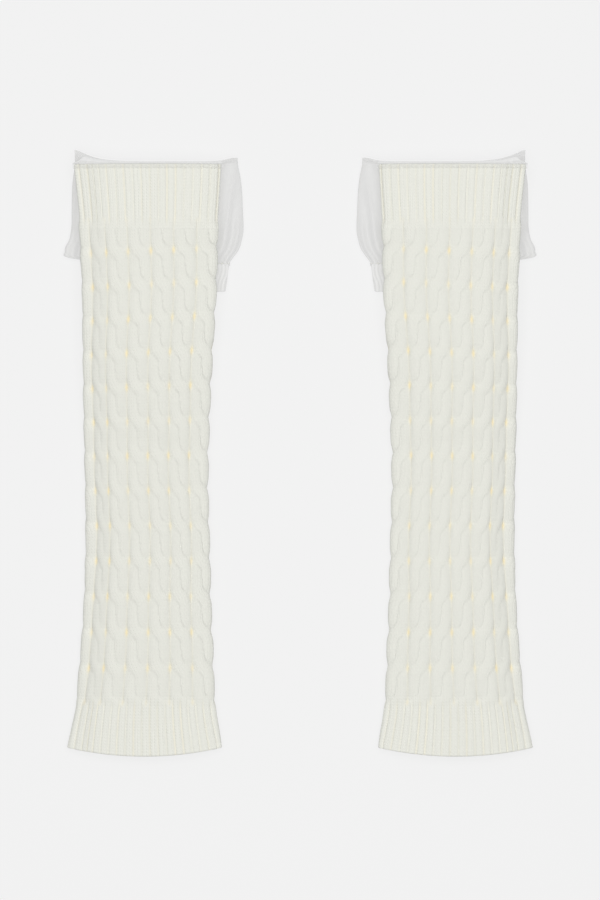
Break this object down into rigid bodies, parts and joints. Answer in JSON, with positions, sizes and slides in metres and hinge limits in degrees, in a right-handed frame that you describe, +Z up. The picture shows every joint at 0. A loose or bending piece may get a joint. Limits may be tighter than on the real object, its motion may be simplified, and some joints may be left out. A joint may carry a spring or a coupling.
{
  "type": "pair of fingerless gloves",
  "caption": "Pair of long cable-knit fingerless gloves, open at both ends, each with a sheer puff and a narrow elastic cuff folded down behind its top edge.",
  "frame": {"origin": "on the table under the middle of the pair's bounding box", "axes": "+X across the pair, normal to the plane that mirrors one glove into the other; +Y along the gloves, from the hems towards the folded puffs; +Z up from the table"},
  "size_m": [0.319, 0.4072, 0.0269],
  "materials": {
    "knit": "cream cable-knit yarn, matt and slightly fuzzy",
    "sheer": "very pale grey sheer organza, fine plain weave with a soft sheen",
    "thread": "ivory sewing thread",
    "elastic": "white woven elastic tape",
    "label": "blank white satin label"
  },
  "bodies": {
    "left_glove": {"left_upper_rib": "knit", "left_cable_tube": "knit", "left_lower_rib": "knit", "left_side_seam": "thread", "left_top_binding": "sheer", "left_binding_stitches": "thread", "left_care_label": "label"},
    "left_puff": {"left_puff": "sheer", "left_puff_seam": "sheer", "left_gather_seam": "thread", "left_cuff_casing": "sheer", "left_cuff_elastic": "elastic"},
    "right_glove": {"right_upper_rib": "knit", "right_cable_tube": "knit", "right_lower_rib": "knit", "right_side_seam": "thread", "right_top_binding": "sheer", "right_binding_stitches": "thread"},
    "right_puff": {"right_puff": "sheer", "right_puff_seam": "sheer", "right_gather_seam": "thread", "right_cuff_casing": "sheer", "right_cuff_elastic": "elastic"}
  },
  "joints": [
    {"name": "pair_spacing", "type": "slide", "parent": "left_glove", "child": "right_glove", "axis": [1, 0, 0], "range_m": [-0.05, 0.2]},
    {"name": "left_puff_fold", "type": "hinge", "parent": "left_glove", "child": "left_puff", "pos_m": [-0.1025, 0.197, 0.00945], "axis": [1, 0, 0], "range_deg": [0, 180]},
    {"name": "right_puff_fold", "type": "hinge", "parent": "right_glove", "child": "right_puff", "pos_m": [0.1025, 0.197, 0.00945], "axis": [1, 0, 0], "range_deg": [0, 180]}
  ]
}
